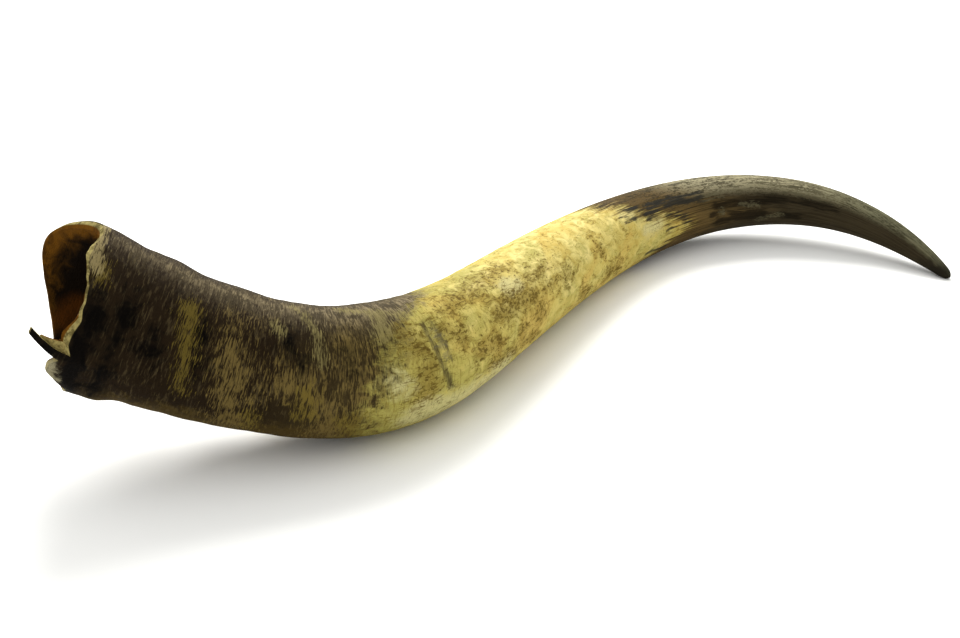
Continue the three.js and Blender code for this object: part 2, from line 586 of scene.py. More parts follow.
@dataclass(frozen=True)
class Mark:
    """A mark along a path of places, each its s in millimetres and its angle, and its half width."""

    path: Path
    width_mm: float

    def inside(self, place: Place) -> Array:
        """How far inside the mark's edge points lie.

        Args:
            place: Where the points lie.

        Returns:
            Millimetres inside the edge, negative outside it.
        """
        nearest = np.full(place.s.shape, np.inf)
        spots = self.path if len(self.path) > 1 else self.path * 2
        for (s, angle), (next_s, next_angle) in zip(spots, spots[1:]):
            over = np.radians(turned(place.angle, angle)) * place.girth
            along = place.s - s * MM
            step_over = math.radians(turned(next_angle, angle)) * place.girth
            step_along = (next_s - s) * MM
            share = (along * step_along + over * step_over) / (step_along**2 + step_over**2 + NO_LENGTH)
            share = np.clip(share, 0.0, 1.0)
            nearest = np.minimum(nearest, np.hypot(along - share * step_along, over - share * step_over))
        return self.width_mm - nearest / MM


@dataclass(frozen=True)
class Boundary:
    """A line round the horn past which a colour starts, as the s in millimetres at each angle."""

    points: Path

    def inside(self, place: Place) -> Array:
        """Millimetres past the line."""
        angles, places = np.array(self.points).T
        return place.s / MM - np.interp(place.angle % FULL_TURN, angles, places, period=FULL_TURN)


PAINT: dict[Stain, tuple[Mark | Boundary, ...]] = {
    # The dark base gives way to cream, further from the mouth on top than in front.
    Stain.CREAM: (
        Boundary((
            (0, 192), (24, 199), (50, 203), (66, 214), (80, 234), (92, 252), (105, 256), (130, 250),
            (180, 225), (270, 200), (320, 186), (345, 188),
        )),
    ),
    # The cream gives way to the dark tip, and runs on in a tongue along the front.
    Stain.TIP: (
        Boundary((
            (0, 625), (10, 614), (22, 602), (32, 588), (40, 568), (48, 556), (60, 544), (75, 532), (90, 522),
            (110, 520), (180, 525), (250, 545), (320, 565), (333, 592), (345, 612),
        )),
    ),
    # The last of the tip is darker all round.
    Stain.END: (Boundary(((0, 886), (90, 898), (180, 890), (270, 880))),),
    # Soot-dark patches, densest in front beside the mouth.
    Stain.SOOT: (
        Mark(((10, 28), (10, 0), (11, -24), (14, -44)), 10),
        Mark(((-6, -12), (-26, 3)), 9),
        Mark(((30, 46), (31, 20), (30, -12), (29, -44)), 5),
        Mark(((54, 30), (56, 14)), 3),
        Mark(((83, 52), (85, 24), (87, 4)), 2),
        Mark(((137, 58), (146, 44), (152, 26)), 1.5),
        Mark(((178, 44), (180, 26)), 1),
        Mark(((96, 180), (104, 205), (100, 240)), 2.5),
        Mark(((160, 150), (168, 175), (166, 215)), 1),
        Mark(((14, 140), (20, 180), (16, 225)), 4),
    ),
    # Stretches where olive layers show through the hatching.
    Stain.OLIVE: (
        Mark(((104, 42), (112, 10), (118, -36)), 15),
        Mark(((150, 12), (168, -8), (172, -42)), 20),
        Mark(((178, 62), (182, 30), (190, 0)), 17),
        Mark(((130, 70), (100, 62)), 9),
        Mark(((128, 130), (138, 190), (148, 250)), 20),
        Mark(((70, 150), (74, 200), (64, 250)), 15),
        Mark(((196, 150), (192, 220)), 16),
    ),
    # Ochre lines of growth across the front.
    Stain.OCHRE: (
        Mark(((71, 57), (74, 44)), 5.5),
        Mark(((74, 44), (78, 22)), 4),
        Mark(((78, 22), (81, -8)), 2.2),
        Mark(((155, 8), (157, -12)), 4),
        Mark(((180, -18), (186, -40)), 5),
        Mark(((126, -20), (128, -42)), 3),
        Mark(((5, 60), (6, 52)), 4),
        Mark(((82, 190), (86, 245)), 2),
        Mark(((150, 130), (154, 165)), 1.5),
    ),
    # Pale worn lines on the base.
    Stain.PALE: (
        Mark(((143, 94), (152, 80), (160, 60), (163, 34)), 2),
        Mark(((130, 66), (136, 58)), 2),
        Mark(((180, 92), (200, 84), (222, 74)), 3),
        Mark(((202, 56), (205, 68), (206, 80)), 5),
        Mark(((178, 120), (186, 150), (184, 180)), 2),
    ),
    # Grey flecks: a patch, a streak and spots of the tip, the pit's lump, the crest, and inside the scar.
    Stain.FLECK: (
        Mark(((690, 17), (701, 13), (711, 9)), 0.9),
        Mark(((710, -30), (724, -21), (737, -14)), 0.6),
        Mark(((670, 4),), 2.2),
        Mark(((862, 55), (884, 51)), 0.5),
        Mark(((894, 54),), 0.8),
        Mark(((648, 40), (676, 45), (704, 52)), 1.4),
        Mark(((700, 60), (750, 48), (792, 56)), 1.8),
        Mark(((237, 46), (240, 22)), 2.0),
    ),
    # The weathered lip under the mouth.
    Stain.LIP: (Mark(((-2, -20), (-1, -32), (4, -46), (8, -56)), 4.5),),
    # Outer layers flaked off beside the rim.
    Stain.PEELED: (
        Mark(((-3, 100), (-3, 84), (-2, 70), (-1, 60)), 4),
        Mark(((1, 66), (3, 56)), 3),
    ),
    # Brown clouds of specks in the cream.
    Stain.BROWN: (
        Mark(((250, 64), (272, 66), (300, 72), (342, 78)), 6),
        Mark(((300, 36), (326, 36), (346, 32)), 10),
        Mark(((350, 46), (372, 48), (398, 44)), 3.5),
        Mark(((364, 28), (384, 27), (408, 24)), 3.5),
        Mark(((270, 12), (286, 8)), 7),
        Mark(((352, 10), (357, 2)), 3.5),
        Mark(((280, -10), (310, -14), (342, -14)), 6),
        Mark(((318, 4), (350, 2)), 1.5),
        Mark(((214, 60), (222, 36)), 7),
        Mark(((246, 44), (256, 34)), 6),
        Mark(((226, 20), (222, -8)), 6),
        Mark(((470, 30),), 6),
        Mark(((478, -10), (504, -14)), 5),
        Mark(((430, -16), (446, -20)), 5),
        Mark(((330, 150), (352, 175)), 14),
        Mark(((420, 200), (455, 215)), 12),
        Mark(((300, 240), (330, 260)), 13),
        Mark(((470, 140), (490, 160)), 10),
    ),
    # The two dark lines of the healed scar.
    Stain.SCAR: (
        Mark(((232, 57), (232, 42), (234, 24), (237, 8), (241, -8)), 1.6),
        Mark(((239, 56), (240, 40), (242, 18)), 1.0),
    ),
    # Bleached patches in the cream, and a wide band of painted bounce light from the floor low on the belly.
    Stain.BLEACHED: (
        Mark(((322, 56), (336, 54)), 6),
        Mark(((204, 16), (208, 6)), 6),
        Mark(((556, 18), (580, 22)), 6),
        Mark(((530, 56), (545, 54)), 4),
        Mark(((222, -28), (262, -34), (300, -34)), 13),
    ),
    # Slate-dark streaks where the tip's layers start.
    Stain.BRUISE: (
        Mark(((566, 42), (582, 42)), 3),
        Mark(((574, 50), (604, 47)), 4.2),
        Mark(((608, 52), (622, 48), (628, 42)), 4.5),
        Mark(((630, 45), (646, 43)), 3),
        Mark(((532, 48), (545, 46)), 2),
        Mark(((542, 61), (558, 60)), 1.5),
        Mark(((592, 31), (612, 29)), 0.9),
        Mark(((592, 7), (624, 5)), 0.9),
        Mark(((606, 20), (622, 18)), 1.0),
        Mark(((560, -22), (592, -28)), 2.2),
        Mark(((556, 140), (580, 152)), 3.5),
        Mark(((590, 160), (624, 166)), 3),
        Mark(((620, 200), (664, 208)), 2.5),
    ),
    # Bare dark layers below the ledge, round the pit and beside the pale streak, partly painted shade in the
    # recess under the ledge and a painted shadow under the pit's lump.
    Stain.BARE: (
        Mark(((662, 19), (700, 19), (740, 22)), 4),
        Mark(((740, 22), (790, 27)), 1.5),
        Mark(((682, -10), (716, -10)), 6),
        Mark(((664, -14), (678, -18)), 3.5),
        Mark(((656, 4), (660, 14)), 2),
        Mark(((739, -14), (752, -16)), 4),
    ),
    # A red-brown glow of painted light low on the far wall of the hollow.
    Stain.GLOW: (Mark(((-3, 220), (1, 211), (5, 204)), 7),),
}


@dataclass(frozen=True)
class Ring:
    """One ring of the straight horn's blank."""

    s: float
    radius: float


@dataclass
class HornSheath:
    """The horn: a hollow sheath modelled straight, carved, painted, bent and set down."""

    axis: HornAxis = field(default_factory=HornAxis)
    sides: int = 48
    hollow_rings: int = 18
    stretches_mm: tuple[tuple[float, int], ...] = (
        (45, 8), (224, 20), (254, 7), (630, 30), (706, 13), (845, 15),
    )
    tip_rings: int = 9
    refine_levels: int = 2
    rim: RimBreak = field(default_factory=RimBreak)
    splinters: tuple[Splinter, ...] = (
        Splinter(
            angle=349, inner=False, end_s=-23 * MM, end_angle=361,
            lift=0.3 * MM, root=0.92, taper=0.96, bow=1.1 * MM,
        ),
        Splinter(
            angle=356, inner=True, end_s=-16 * MM, end_angle=357,
            lift=-0.8 * MM, root=1.1, taper=0.88, bow=0.6 * MM,
        ),
    )
    forms: tuple[Form, ...] = (
        Swells(),
        Knot(26 * MM, 305, 2.0 * MM, 11 * MM),
        Knot(88 * MM, 309, 1.8 * MM, 12 * MM),
        Knot(118 * MM, 250, 2.0 * MM, 16 * MM),
        Knot(58 * MM, 205, 2.2 * MM, 17 * MM),
        Knot(18 * MM, 102, 3.6 * MM, 30 * MM),
        Knot(68 * MM, 108, 2.6 * MM, 34 * MM),
        Knot(115 * MM, 108, 1.7 * MM, 16 * MM),
        Groove(s=235 * MM, lean=-0.07 * MM, start=-8, end=62, depth=1.5 * MM, width=3.6 * MM),
        Groove(s=242 * MM, lean=-0.10 * MM, start=10, end=50, depth=0.9 * MM, width=2.6 * MM),
        Ledge(),
        Pit(),
        Crest(),
        Weathering(Bumps(7 * MM, 60 * MM, 1.0), height=0.28 * MM, start=5 * MM, end=420 * MM, fade=60 * MM),
        Weathering(Bumps(22 * MM, 16 * MM, 4.0), height=0.5 * MM, start=0.0, end=300 * MM, fade=80 * MM),
        Weathering(Bumps(70 * MM, 7 * MM, 9.0), height=0.35 * MM, start=560 * MM, end=880 * MM, fade=40 * MM),
        Flake(),
    )
    # How far across the wall the rim's crown lies, how far past the hollow's end all points are outside, and
    # how many crowns out of the mouth a splinter is clear of the break.
    crown_across: float = 0.5
    solid_past: float = 1 * MM
    clear_crowns: float = 3.0
    # The least girth that marks are measured on, the stretch at the tip's end where all relief fades, and the
    # angle in degrees below which faces are shaded smooth.
    least_girth: float = 1 * MM
    tip_smooth: float = 30 * MM
    smooth_below: float = 50
    set_down_mm: tuple[float, float, float] = (-0.75, 0.27, -0.16)
    outline: HornOutline = field(init=False, repr=False)

    def build(self) -> bpy.types.Object:
        """Makes the horn in its place.

        Returns:
            The finished mesh object, with its painted layers as attributes.
        """
        axis = self.axis.build()
        self.outline = HornOutline(length=axis.data.splines[0].calc_length())
        horn = self._extrude_blank()
        self._mark_wall(horn)
        self._pull_splinters(horn)
        self._refine(horn)
        self._carve(horn)
        self._bend(horn, axis)
        self._set_down(horn)
        return horn

    def _rings(self) -> list[Ring]:
        """Plans the blank.

        Returns:
            Its rings, from the end of the hollow to the rim and along the outside to the tip.
        """
        outline = self.outline
        turns = np.linspace(0.0, math.pi / 2, self.hollow_rings + 1)[1:]
        hollow = outline.hollow_depth * (1 - np.sin(turns))
        rings = [Ring(s, float(outline.hollow(s))) for s in hollow]
        rings.append(Ring(-self.rim.crown, self._wall_middle()))
        places = [0.0]
        for end_mm, count in self.stretches_mm:
            places += list(np.linspace(places[-1], end_mm * MM, count + 1)[1:])
        turns = np.linspace(0.0, math.pi / 2, self.tip_rings + 1)[1:-1]
        last = places[-1]
        places += list(last + (outline.length - last) * np.sin(turns))
        return rings + [Ring(s, float(outline.girth(s))) for s in places]

    def _extrude_blank(self) -> bpy.types.Object:
        """Extrudes a circle ring by ring into the blank, and closes it at both ends.

        Returns:
            The blank, straight and with few faces.
        """
        bpy.ops.object.select_all(action="DESELECT")
        rings = self._rings()
        depth = self.outline.hollow_depth
        bpy.ops.mesh.primitive_circle_add(
            vertices=self.sides,
            radius=rings[0].radius,
            fill_type="TRIFAN",
            location=(depth, 0, 0),
            rotation=(0, math.pi / 2, 0),
        )
        horn = bpy.context.active_object
        horn.name = "horn_sheath"
        bpy.ops.object.transform_apply(location=True, rotation=True, scale=True)
        bpy.ops.object.mode_set(mode="EDIT")
        bpy.ops.mesh.select_all(action="SELECT")
        before = Ring(depth, rings[0].radius)
        for ring in rings:
            bpy.ops.mesh.extrude_region_move(TRANSFORM_OT_translate={"value": (ring.s - before.s, 0, 0)})
            size = ring.radius / before.radius
            bpy.ops.transform.resize(value=(1, size, size), center_override=(ring.s, 0, 0))
            before = ring
        last = self.outline.length - before.s
        bpy.ops.mesh.extrude_region_move(TRANSFORM_OT_translate={"value": (last, 0, 0)})
        bpy.ops.mesh.merge(type="CENTER")
        end = rings[0].radius
        pick_faces(horn, lambda middle: abs(middle.x - depth) < SAME_PLACE and middle.yz.length < end)
        bpy.ops.mesh.merge(type="CENTER")
        bpy.ops.mesh.select_all(action="SELECT")
        bpy.ops.mesh.normals_make_consistent(inside=False)
        bpy.ops.object.mode_set(mode="OBJECT")
        return horn

    def _mark_wall(self, horn: bpy.types.Object) -> None:
        """Marks each point by how far across the wall it lies: 0 in the hollow, 1 outside.

        Args:
            horn: The blank.
        """
        places = self._places(horn)
        s, radius = places[:, 0], np.hypot(places[:, 1], places[:, 2])
        middle = (self.outline.hollow(s) + self.outline.girth(s)) / 2
        outside = (radius >= middle) | (s > self.outline.hollow_depth + self.solid_past)
        self._store(horn, ACROSS, np.where(s < -self.rim.crown / 2, self.crown_across, outside))

    def _pull_splinters(self, horn: bpy.types.Object) -> None:
        """Extrudes a face of the rim into each splinter, narrower towards its end.

        Args:
            horn: The blank.
        """
        bpy.ops.object.mode_set(mode="EDIT")
        for splinter in self.splinters:
            pick_faces(horn, partial(self._grows, splinter))
            end = self._on_rim(splinter.end_angle, splinter.lift)
            end.x = splinter.end_s
            path = splinter.path(self._on_rim(splinter.angle, 0.0), end)
            bpy.ops.mesh.extrude_region_move()
            bpy.ops.transform.resize(value=(splinter.root,) * 3, center_override=path[0])
            for place, further in zip(path, path[1:]):
                bpy.ops.mesh.extrude_region_move(TRANSFORM_OT_translate={"value": further - place})
                bpy.ops.transform.resize(value=(splinter.taper,) * 3, center_override=further)
        bpy.ops.mesh.select_all(action="SELECT")
        bpy.ops.mesh.normals_make_consistent(inside=False)
        bpy.ops.object.mode_set(mode="OBJECT")

    def _grows(self, splinter: Splinter, middle: Vector) -> bool:
        """Says whether a splinter grows from a face of the blank.

        Args:
            splinter: The splinter.
            middle: The face's middle.

        Returns:
            True for the one face of the rim that it grows from.
        """
        if not -self.rim.crown < middle.x < -self.rim.crown / 4:
            return False
        angle = math.degrees(math.atan2(middle.z, -middle.y))
        side = (middle.yz.length < self._wall_middle()) == splinter.inner
        return side and abs(turned(angle, splinter.angle)) < FULL_TURN / self.sides / 2

    def _wall_middle(self) -> float:
        """Radius of the middle of the wall at the mouth."""
        return float(self.outline.girth(0.0)) - self.outline.rim_wall / 2

    def _on_rim(self, angle: float, lift: float) -> Vector:
        """A point of the plain rim's wall at an angle, lifted out of it or sunk."""
        radius, turn = self._wall_middle() + lift, math.radians(angle)
        return Vector((0.0, -radius * math.cos(turn), radius * math.sin(turn)))

    def _refine(self, horn: bpy.types.Object) -> None:
        """Divides every face, for the carving.

        Args:
            horn: The blank, with its splinters.
        """
        refine = horn.modifiers.new("refine", "SUBSURF")
        refine.subdivision_type = "SIMPLE"
        refine.levels = self.refine_levels
        refine.render_levels = self.refine_levels
        bpy.ops.object.modifier_apply(modifier=refine.name)

    def _carve(self, horn: bpy.types.Object) -> None:
        """Moves each point of the blank to the carved surface, and paints it.

        Args:
            horn: The refined blank.
        """
        points = self._places(horn)
        across = np.zeros(len(points), np.float32)
        horn.data.attributes[ACROSS].data.foreach_get("value", across)
        s = points[:, 0]
        angle = np.degrees(np.arctan2(points[:, 2], -points[:, 1]))
        sprung = smoothstep(-s, self.rim.crown, self.clear_crowns * self.rim.crown)
        plain = np.hypot(points[:, 1], points[:, 2])
        across = np.where((sprung > 0) & (plain > self._wall_middle()), 1.0, across)
        place = Place(np.maximum(s, 0.0), angle, self.outline.girth(s))
        relief = sum(form.relief(place) for form in self.forms)
        relief = relief * smoothstep(self.outline.length - s, 0.0, self.tip_smooth)
        hollow = self.outline.hollow(s)
        radius = hollow + across * (place.girth + relief - hollow)
        radius = radius + sprung * (plain - radius)
        reach = self.rim.reach(angle) - self.rim.set_back(angle, across)
        rim_angle = np.full(angle.shape, self.splinters[0].angle)
        reach = reach + sprung * (self.rim.reach(rim_angle) - reach)
        carved_s = s - reach * np.clip(1 - s / self.rim.fade, 0.0, 1.0)
        round_it = np.radians(angle)
        carved = np.stack([carved_s, -radius * np.cos(round_it), radius * np.sin(round_it)], axis=-1)
        horn.data.vertices.foreach_set("co", carved.astype(np.float32).ravel())
        self._paint(horn, Place(carved_s, angle, np.maximum(place.girth, self.least_girth)))
        self._store(horn, FROM_RIM, s / MM)

    def _paint(self, horn: bpy.types.Object, place: Place) -> None:
        """Stores the painted layers and the grain's own coordinates.

        Args:
            horn: The carved horn, still straight.
            place: Where its points lie.
        """
        for stain, marks in PAINT.items():
            inside = np.max([mark.inside(place) for mark in marks], axis=0)
            self._store(horn, stain.value, np.clip(inside, -PAINT_LIMIT_MM, PAINT_LIMIT_MM))
        self._store(horn, RAISED, np.degrees(np.arcsin(np.sin(np.radians(place.angle)))))
        grain = horn.data.attributes.new(GRAIN, "FLOAT_VECTOR", "POINT")
        grain.data.foreach_set("vector", place.unrolled(GRAIN_RADIUS).astype(np.float32).ravel())

    def _bend(self, horn: bpy.types.Object, axis: bpy.types.Object) -> None:
        """Bends the straight horn along its axis, and removes the axis.

        Args:
            horn: The carved and painted horn.
            axis: The curve that it bends along.
        """
        bend = horn.modifiers.new("bend", "CURVE")
        bend.object = axis
        bend.deform_axis = "POS_X"
        bpy.ops.object.modifier_apply(modifier=bend.name)
        bpy.data.curves.remove(axis.data)

    def _set_down(self, horn: bpy.types.Object) -> None:
        """Sets the horn down in its place, with the spots that it rests on worn flat.

        Args:
            horn: The bent horn.
        """
        horn.data.transform(Matrix.Translation([x * MM for x in self.set_down_mm]))
        points = self._places(horn)
        points[:, 2] = np.maximum(points[:, 2], 0.0)
        horn.data.vertices.foreach_set("co", points.astype(np.float32).ravel())
        horn.data.update()
        bpy.ops.object.shade_smooth_by_angle(angle=math.radians(self.smooth_below))

    @staticmethod
    def _places(horn: bpy.types.Object) -> Array:
        """Reads the points of the mesh.

        Args:
            horn: The horn.

        Returns:
            One row of x, y and z for each point.
        """
        places = np.zeros(len(horn.data.vertices) * 3, np.float32)
        horn.data.vertices.foreach_get("co", places)
        return places.reshape(-1, 3).astype(float)

    @staticmethod
    def _store(horn: bpy.types.Object, name: str, values: Array) -> None:
        """Stores one number for each point of the mesh."""
        attribute = horn.data.attributes.new(name, "FLOAT", "POINT")
        attribute.data.foreach_set("value", values.astype(np.float32))

    def dress(self, horn: bpy.types.Object, finish: "WeatheredKeratin") -> None:
        """Gives the horn its finish and its place in the frame.

        Args:
            horn: The finished mesh object.
            finish: What its surface is made of.
        """
        horn.data.materials.append(finish.material())
        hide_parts("horn")
        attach(horn, "root")


@dataclass(frozen=True)
class Pattern:
    """Noise whose grains have a size along the horn and a size round it, with finer noise in it and a warp."""

    along_mm: float
    around_mm: float
    detail: float = 3.0
    warp: float = 0.0
    roughness: float = 0.58


@dataclass(frozen=True)
class Edge:
    """Where one thing gives way to another: a value's level there, how soft that is and how strong."""

    level: float
    soft: float
    strength: float = 1.0

    def span(self, value: Socket) -> dict[str, Socket | float]:
        """What a Map Range node is fed for a value that crosses the edge."""
        return {"Value": value, "From Min": self.level - self.soft, "From Max": self.level + self.soft}


@dataclass(frozen=True)
class Coat:
    """A colour laid over those below it where a value passes a level, with a soft edge."""

    colour: str
    level: float
    soft: float
    strength: float

    @property
    def edge(self) -> Edge:
        """Where the coat starts."""
        return Edge(self.level, self.soft, self.strength)


@dataclass(frozen=True)
class Grains:
    """The patterns of the keratin, as sockets, and the degrees above the horn's middle."""

    hatch: Socket
    fibre: Socket
    cloud: Socket
    blotch: Socket
    speck: Socket
    fray: Socket
    crackle: Socket
    scratch: Socket
    raised: Socket


# A Mix node's sockets, by number, because those for numbers and for colours share their names.
MIX_SHARE = 0
MIX_NUMBERS = (2, 3)
MIX_COLOURS = (6, 7)
MIX_COLOUR_OUT = 2


@dataclass
class NodeBench:
    """A node tree while a finish is put together in it."""

    tree: bpy.types.NodeTree

    def add(
        self, kind: str, links: dict | None = None, out: int | str = 0, **settings: object
    ) -> Socket | None:
        """Adds a node.

        Args:
            kind: The node's type.
            links: For each input, by name or number, a value or the socket that feeds it.
            out: The output that is handed back.
            **settings: The node's own settings.

        Returns:
            The output socket, or None where the node has none.
        """
        node = self.tree.nodes.new(kind)
        for name, value in settings.items():
            setattr(node, name, value)
        for name, value in (links or {}).items():
            if isinstance(value, bpy.types.NodeSocket):
                self.tree.links.new(value, node.inputs[name])
            else:
                node.inputs[name].default_value = value
        return node.outputs[out] if len(node.outputs) else None

    def grown(self, pattern: Pattern) -> Socket:
        """Adds a pattern that follows the horn's growth, on the tube that its points are stored for.

        Args:
            pattern: The pattern.

        Returns:
            Its value, from 0 to 1.
        """
        places = self.add("ShaderNodeAttribute", out="Vector", attribute_name=GRAIN)
        along, around = 1 / (pattern.along_mm * MM), 1 / (pattern.around_mm * MM)
        places = self.add("ShaderNodeMapping", {"Vector": places, "Scale": (along, around, around)})
        links = {"Vector": places, "Scale": 1.0, "Detail": pattern.detail, "Roughness": pattern.roughness}
        return self.add("ShaderNodeTexNoise", {**links, "Distortion": pattern.warp})

    def total(self, rest: float, *parts: tuple[Socket, float]) -> Socket:
        """Adds up values.

        Args:
            rest: A number that is added to them.
            *parts: Each value, and the share that it counts for.

        Returns:
            The sum.
        """
        value = rest
        for part, share in parts:
            value = self.add("ShaderNodeMath", {0: part, 1: share, 2: value}, operation="MULTIPLY_ADD")
        return value

    def frayed(self, stain: Stain, *frays: tuple[Socket, float]) -> Socket:
        """Frays the edge of a painted layer.

        Args:
            stain: The layer.
            *frays: Each pattern that frays it, and up to how many millimetres it does so either way.

        Returns:
            Millimetres inside the frayed edge.
        """
        inside = self.add("ShaderNodeAttribute", out="Fac", attribute_name=stain.value)
        middle = -sum(amount for _, amount in frays)
        return self.total(middle, (inside, 1.0), *((pattern, 2 * amount) for pattern, amount in frays))

    def lay(self, under: Socket | tuple, over: Socket | tuple, value: Socket, edge: Edge) -> Socket:
        """Lays colours over others where a value passes an edge.

        Args:
            under: The colours below.
            over: The colours above.
            value: The value that passes the edge's level.
            edge: The edge, and how strongly the colours above cover.

        Returns:
            The colours of both.
        """
        links = {**edge.span(value), "To Max": edge.strength}
        share = self.add("ShaderNodeMapRange", links, interpolation_type="SMOOTHSTEP")
        links = {MIX_SHARE: share, **dict(zip(MIX_COLOURS, (under, over)))}
        return self.add("ShaderNodeMix", links, out=MIX_COLOUR_OUT, data_type="RGBA")

    def coat(self, under: Socket | tuple, value: Socket, coat: Coat) -> Socket:
        """Lays a coat of one colour over those below it."""
        return self.lay(under, linear_colour(coat.colour), value, coat.edge)


@dataclass(frozen=True)
class WeatheredKeratin:
    """Horn keratin, grown in layers and weathered: matt and hatched at the base, streaked at the tip.

    The eye sees fine lines across the dark base where the layers wore through, a cream middle with brown
    clouds, and long fibres in the dark tip. Their tops are paler, partly with painted sheen on the base and
    the tip and a painted highlight on the cream. The broken wall is pale, and the hollow is amber at the rim
    and darkens to black further in with painted shade.
    """

    # Lines of growth, scratches and fibres are about 0.3 mm apart, too fine to show, so they are drawn three
    # to five times as coarse.
    hatch: Pattern = Pattern(0.9, 6.0, 3.0, 0.8)
    fibre: Pattern = Pattern(44, 1.5, 4.0, 0.3)
    cloud: Pattern = Pattern(46, 32, 3.0, 0.5)
    blotch: Pattern = Pattern(11, 9, 5.0, 0.8)
    speck: Pattern = Pattern(3.0, 1.9, 4.0, 0.6)
    fray: Pattern = Pattern(26, 4.0, 5.0, 0.5)
    crackle: Pattern = Pattern(13, 5.0, 2.0, 0.7)
    scratch: Pattern = Pattern(1.5, 7.0, 4.0, 0.6)
    # Base: dark brown, with olive lines across it and a worn grey top, which is partly painted sheen.
    base: str = "#2a1f10"
    base_dark: Coat = Coat("#120a04", 0.57, 0.10, 0.7)
    base_mottle: Coat = Coat("#5d5138", 0.56, 0.06, 0.55)
    base_late: Coat = Coat("#4d4226", -45.0, 35.0, 0.5)
    base_umber: Coat = Coat("#5f4e22", 24.0, 16.0, 0.65)
    base_olive: Coat = Coat("#7e6d40", 0.53, 0.08, 0.8)
    # Worn grey layers and painted sheen on the top of the base.
    worn_grey_and_sheen: str = "#8c7f62"
    grey_mottle: Coat = Coat("#2e261a", 0.50, 0.05, 0.75)
    grey_edge: Edge = Edge(71.0, 20.0)
    soot: Coat = Coat("#050200", 0.0, 8.0, 0.96)
    ochre: Coat = Coat("#77682f", 0.0, 3.5, 0.72)
    pale: Coat = Coat("#8b8155", 0.0, 3.0, 0.7)
    lip: Coat = Coat("#a39c80", 0.0, 4.0, 0.85)
    # Middle: cream, with butter clouds that gather on top as a painted highlight, tan and olive clouds, brown
    # lines and specks, and a dark scar.
    cream: str = "#c3b46a"
    # Pale butter clouds, with more of them on top as a painted highlight.
    butter_and_top_highlight: Coat = Coat("#e0d090", 0.56, 0.14, 0.85)
    tan: Coat = Coat("#bd9f56", 0.53, 0.10, 0.6)
    olive: Coat = Coat("#9c9650", 0.52, 0.12, 0.75)
    lines: Coat = Coat("#6f5f28", 0.66, 0.10, 0.6)
    cracks: Coat = Coat("#6a5824", 0.055, 0.022, 0.65)
    brown: Coat = Coat("#8a7739", 0.0, 9.0, 0.7)
    specks: Coat = Coat("#57461a", 0.70, 0.07, 0.8)
    # Bleached patches, and painted bounce light from the floor low on the belly.
    bleached_and_bounce_light: Coat = Coat("#cbc596", 0.0, 6.0, 0.65)
    browned: Coat = Coat("#7a6534", -16.0, 18.0, 0.6)
    scar: Coat = Coat("#4c442d", 0.0, 2.0, 0.8)
    # Tip: dark olive brown, with soft fibres, rust where it starts and grey worn layers on top, which are
    # partly painted sheen.
    tip: str = "#463e2d"
    young: Coat = Coat("#75613a", 70.0, 60.0, 0.85)
    fibres: Coat = Coat("#2a2213", 0.53, 0.12, 0.7)
    # Grey worn layers on top of the tip, partly painted sheen.
    worn: str = "#989175"
    worn_mottle: Coat = Coat("#352f1e", 0.51, 0.04, 0.8)
    worn_rust: Coat = Coat("#584624", 50.0, 35.0, 0.95)
    worn_green: Coat = Coat("#61614a", 240.0, 60.0, 0.8)
    worn_and_sheen_edge: Edge = Edge(41.0, 14.0)
    # Dark bare layers, with painted shade in the recess under the ledge and a painted shadow under the pit's
    # lump.
    recess: Coat = Coat("#1b150b", 0.0, 3.5, 0.75)
    fleck: Coat = Coat("#757057", 0.0, 2.6, 0.5)
    bruise: Coat = Coat("#33332e", 0.0, 2.5, 0.8)
    end: Coat = Coat("#26231b", 0.0, 12.0, 0.75)
    # Where the zones meet, and the broken wall and the hollow.
    cream_edge: Edge = Edge(3.0, 12.0)
    tip_edge: Edge = Edge(0.0, 10.0)
    wall_edge: Edge = Edge(-0.92, 0.05)
    hollow_edge: Edge = Edge(-0.45, 0.08)
    wall: str = "#a89b66"
    wall_dirt: Coat = Coat("#4f4522", 0.52, 0.10, 0.8)
    peeled: Coat = Coat("#948760", 0.0, 2.5, 0.85)
    hollow: str = "#754f10"
    hollow_dirt: Coat = Coat("#4a2e0a", 0.52, 0.14, 0.6)
    # Painted shade: the hollow darkens to near black further from the rim.
    hollow_shade: Coat = Coat("#0b0502", 4.0, 8.0, 0.97)
    # A painted glow of light on the far wall of the hollow.
    hollow_glow: Coat = Coat("#5c3407", 0.0, 7.0, 0.85)
    # Where patterns grow stronger, in millimetres inside a layer's edge: the olive layers, the start of the
    # cream, the crowded specks of its clouds, and the relief of the tip's fibres and of the base's lines.
    olive_area: Edge = Edge(0.0, 16.0)
    early_cream: Edge = Edge(80.0, 70.0)
    crowded: Edge = Edge(-3.0, 11.0)
    fibre_relief: Edge = Edge(0.0, 10.0)
    line_relief: Edge = Edge(30.0, 30.0)
    # The surface: matt, with little gloss and a fine relief, which is lower on the cream.
    roughness_least: float = 0.6
    roughness_most: float = 0.9
    ior: float = 1.54
    gloss: float = 0.06
    relief: float = 1.4 * MM
    relief_strength: float = 0.8
    cream_relief: float = 0.35
    pitting: float = 0.4

